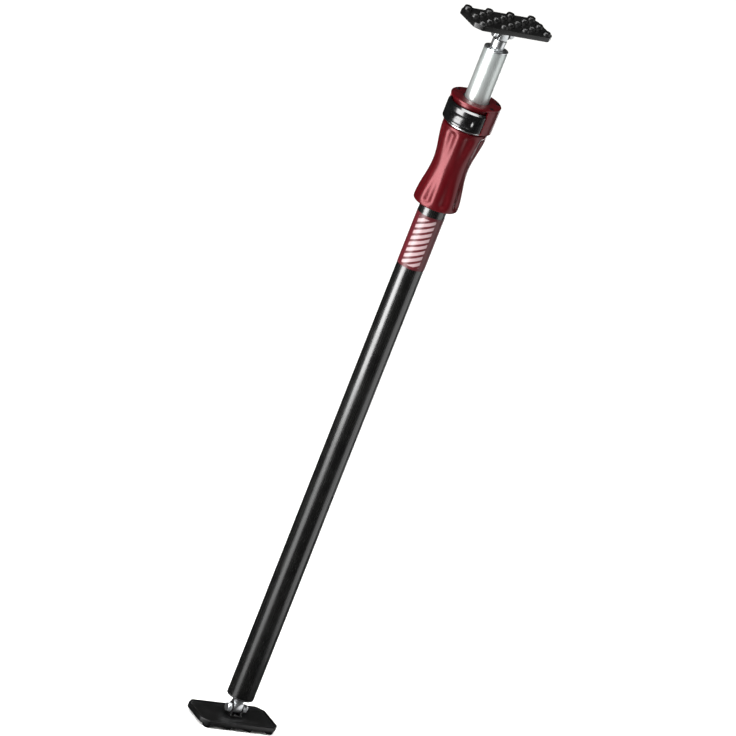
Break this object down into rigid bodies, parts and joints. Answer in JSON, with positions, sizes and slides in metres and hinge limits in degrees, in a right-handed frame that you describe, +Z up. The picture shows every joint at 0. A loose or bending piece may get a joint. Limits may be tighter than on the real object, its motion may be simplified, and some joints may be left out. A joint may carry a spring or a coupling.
{
  "type": "telescopic drywall support pole",
  "caption": "Telescopic support pole with a swivelling rubber pad at each end, a screw grip for fine pressure and a clutch collar with a release lever.",
  "frame": {"origin": "on the floor under the middle of the closed pole, where the lower pad's knobs stand", "axes": "+Z up along the pole from the lower pad to the upper pad, +X along the pads' long sides and the cross bolts"},
  "size_m": [0.112, 0.0642, 0.981],
  "materials": {
    "tube_black": "gloss black powder coat",
    "label_red": "printed film, red with pale slanted bars",
    "grip_red": "gloss dark red moulded plastic",
    "lever_black": "gloss black moulded plastic",
    "zinc_tube": "bright zinc plated tube",
    "zinc_small": "bright zinc plated steel",
    "bracket_black": "black painted pressed steel",
    "pad_rubber": "moulded black rubber",
    "spring_steel": "oiled spring steel",
    "guide_plastic": "natural polyamide",
    "plug_black": "black polyamide",
    "screw_black": "black oxide steel"
  },
  "bodies": {
    "outer_body": {"outer_tube": "tube_black", "label_band": "label_red", "tube_guide_bush": "guide_plastic", "lower_tube_plug": "plug_black"},
    "lower_swivel": {"lower_swivel_stud": "zinc_small", "lower_stud_clip": "spring_steel"},
    "lower_foot": {"lower_rubber_pad": "pad_rubber", "lower_pad_plate": "bracket_black", "lower_bracket": "bracket_black", "lower_rivets": "bracket_black", "lower_pivot_bolt": "zinc_small", "lower_washers": "zinc_small", "lower_pivot_nut": "zinc_small"},
    "collar": {"collar_housing": "grip_red", "collar_cap": "grip_red", "cap_screws": "screw_black", "wiper_ring": "plug_black", "thrust_washer": "zinc_small", "clutch_springs": "spring_steel", "clutch_pivot_pin": "zinc_small"},
    "grip_body": {"grip": "grip_red", "threaded_sleeve": "zinc_small", "sleeve_clip": "spring_steel"},
    "lever_body": {"release_lever": "lever_black", "lever_pins": "zinc_small", "clutch_plates": "spring_steel"},
    "inner_body": {"inner_tube": "zinc_tube", "piston_guide": "guide_plastic", "upper_tube_plug": "zinc_small"},
    "upper_swivel": {"upper_swivel_stud": "zinc_small", "upper_stud_clip": "spring_steel"},
    "upper_foot": {"upper_rubber_pad": "pad_rubber", "upper_pad_plate": "bracket_black", "upper_bracket": "bracket_black", "upper_rivets": "bracket_black", "upper_pivot_bolt": "zinc_small", "upper_washers": "zinc_small", "upper_pivot_nut": "zinc_small"}
  },
  "joints": [
    {"name": "lower_swivel_turn", "type": "hinge", "parent": "outer_body", "child": "lower_swivel", "pos_m": [0, 0, 0.037], "axis": [0, 0, 1], "continuous": true},
    {"name": "lower_foot_tilt", "type": "hinge", "parent": "lower_swivel", "child": "lower_foot", "pos_m": [0, 0, 0.02], "axis": [1, 0, 0], "range_deg": [-45, 45]},
    {"name": "grip_turn", "type": "hinge", "parent": "collar", "child": "grip_body", "pos_m": [0, 0, 0.7825], "axis": [0, 0, 1], "range_deg": [0, 2520]},
    {"name": "collar_lift", "type": "slide", "parent": "outer_body", "child": "collar", "axis": [0, 0, 1], "range_m": [0, 0.035]},
    {"name": "release_lever_squeeze", "type": "hinge", "parent": "collar", "child": "lever_body", "pos_m": [0.02357, 0.01049, 0.85606], "axis": [-0.4067, 0.9135, 0], "range_deg": [0, 5], "stiffness_Nm_per_rad": 2, "springref_deg": -12.61, "deforming": ["clutch_springs"]},
    {"name": "inner_tube_slide", "type": "slide", "parent": "collar", "child": "inner_body", "axis": [0, 0, 1], "range_m": [0, 0.68]},
    {"name": "upper_swivel_turn", "type": "hinge", "parent": "inner_body", "child": "upper_swivel", "pos_m": [0, 0, 0.941], "axis": [0, 0, 1], "continuous": true},
    {"name": "upper_foot_tilt", "type": "hinge", "parent": "upper_swivel", "child": "upper_foot", "pos_m": [0, 0, 0.961], "axis": [1, 0, 0], "range_deg": [-45, 45]}
  ],
  "couplings": [
    {"joint": "grip_turn", "follows": "collar_lift", "rad_per_m": 1256.6}
  ]
}
